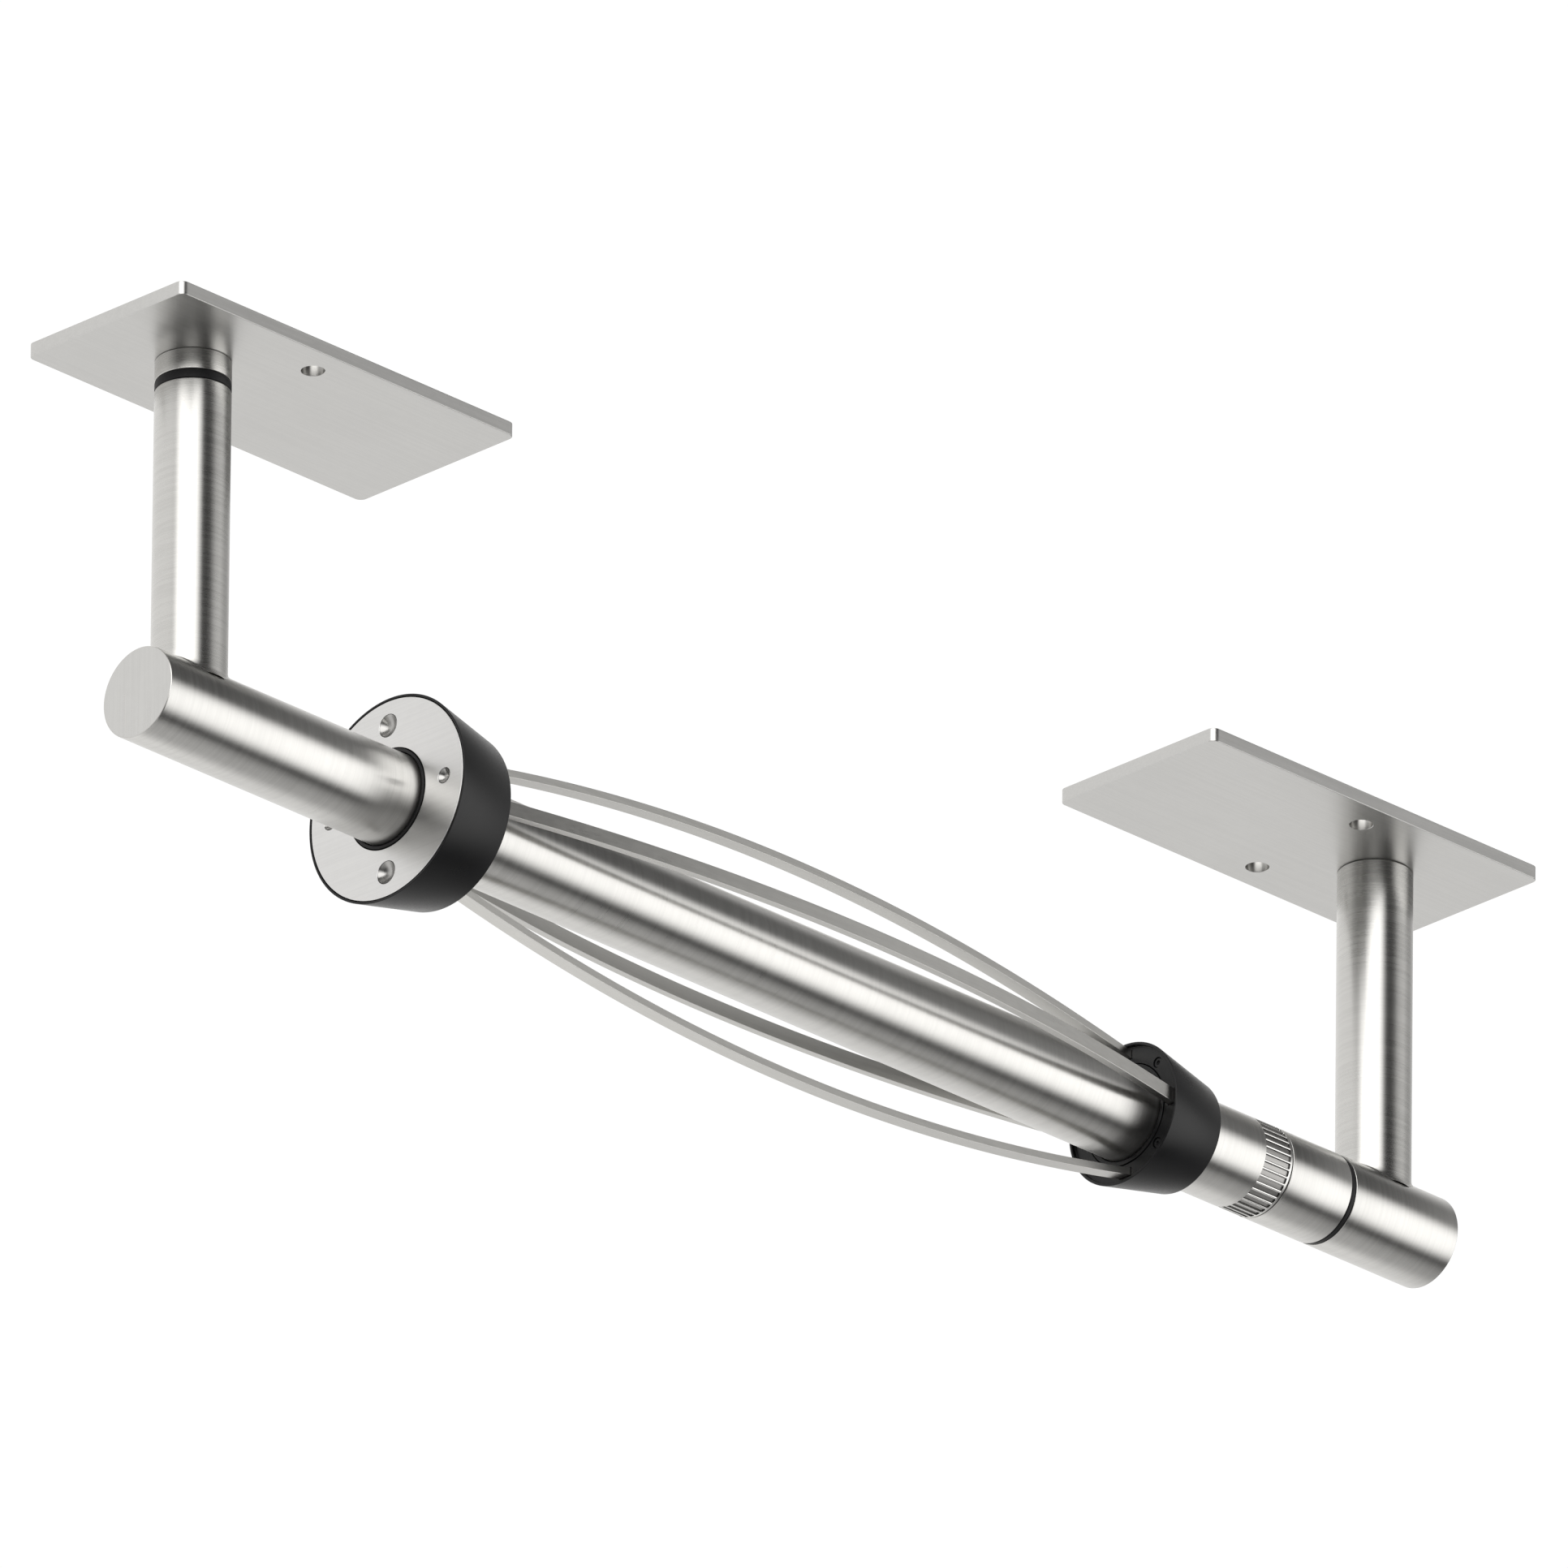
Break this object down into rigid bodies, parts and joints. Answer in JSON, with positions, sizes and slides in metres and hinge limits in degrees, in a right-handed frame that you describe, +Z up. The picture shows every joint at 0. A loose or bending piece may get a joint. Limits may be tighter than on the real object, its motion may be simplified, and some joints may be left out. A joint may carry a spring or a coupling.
{
  "type": "under-cabinet paper towel holder",
  "caption": "Ceiling-hung steel paper towel holder: two plates and posts, a swing-out spindle, a cage of bowed strips that grips the core, and a twist lock ring.",
  "frame": {"origin": "centre of the left mounting plate's top face", "axes": "+X along the spindle from the pivot post to the locking post, +Z up into the cabinet, +Y across the plates"},
  "size_m": [0.4977, 0.0624, 0.1344],
  "materials": {
    "satin_steel": "fine brushed satin",
    "spring_strip": "fine satin",
    "turned_steel": "turned, hidden or recessed",
    "black_plastic": "satin black"
  },
  "bodies": {
    "fixed_brackets": {"left_mount_plate": "satin_steel", "pivot_boss": "satin_steel", "pivot_washer": "black_plastic", "pivot_screw": "turned_steel", "pivot_nut": "turned_steel", "right_mount_plate": "satin_steel", "right_post": "satin_steel", "right_post_plug": "turned_steel", "right_post_screw": "turned_steel", "right_end_tube": "satin_steel", "seam_ring": "black_plastic", "strike_bush": "turned_steel"},
    "swing_arm": {"left_post": "satin_steel", "left_post_plug": "black_plastic", "spindle_tube": "satin_steel", "hub_retaining_ring": "turned_steel", "bolt_guide": "turned_steel", "latch_housing": "satin_steel"},
    "spinner": {"left_hub": "black_plastic", "hub_face_plate": "satin_steel", "left_bearing_bush": "black_plastic", "face_screw_top": "turned_steel", "face_screw_bottom": "turned_steel", "face_pin_front": "turned_steel", "face_pin_back": "turned_steel", "strip_top": "spring_strip", "strip_front": "spring_strip", "strip_bottom": "spring_strip", "strip_back": "spring_strip"},
    "end_collar": {"right_hub": "black_plastic", "right_bearing_bush": "black_plastic", "right_hub_screw_1": "turned_steel", "right_hub_screw_2": "turned_steel", "right_hub_screw_3": "turned_steel", "right_hub_screw_4": "turned_steel"},
    "lock_ring": {"lock_ring": "satin_steel"},
    "latch_bolt": {"latch_bolt": "turned_steel", "cross_pin": "turned_steel"}
  },
  "joints": [
    {"name": "arm_swing", "type": "hinge", "parent": "fixed_brackets", "child": "swing_arm", "pos_m": [-0.0283, 0, -0.10315], "axis": [0, 0, 1], "range_deg": [-110, 110]},
    {"name": "cage_spin", "type": "hinge", "parent": "swing_arm", "child": "spinner", "pos_m": [0.0543, 0, -0.10315], "axis": [1, 0, 0], "continuous": true},
    {"name": "collar_slide", "type": "slide", "parent": "spinner", "child": "end_collar", "axis": [1, 0, 0], "range_m": [0, 0.0019], "stiffness_N_per_m": 600, "deforming": ["strip_top", "strip_front", "strip_bottom", "strip_back"]},
    {"name": "lock_turn", "type": "hinge", "parent": "swing_arm", "child": "lock_ring", "pos_m": [0.3572, 0, -0.10315], "axis": [1, 0, 0], "range_deg": [0, 90]},
    {"name": "bolt_slide", "type": "slide", "parent": "swing_arm", "child": "latch_bolt", "axis": [1, 0, 0], "range_m": [0, 0.007]}
  ],
  "couplings": [
    {"joint": "bolt_slide", "follows": "lock_turn", "m_per_rad": 0.0044563}
  ]
}
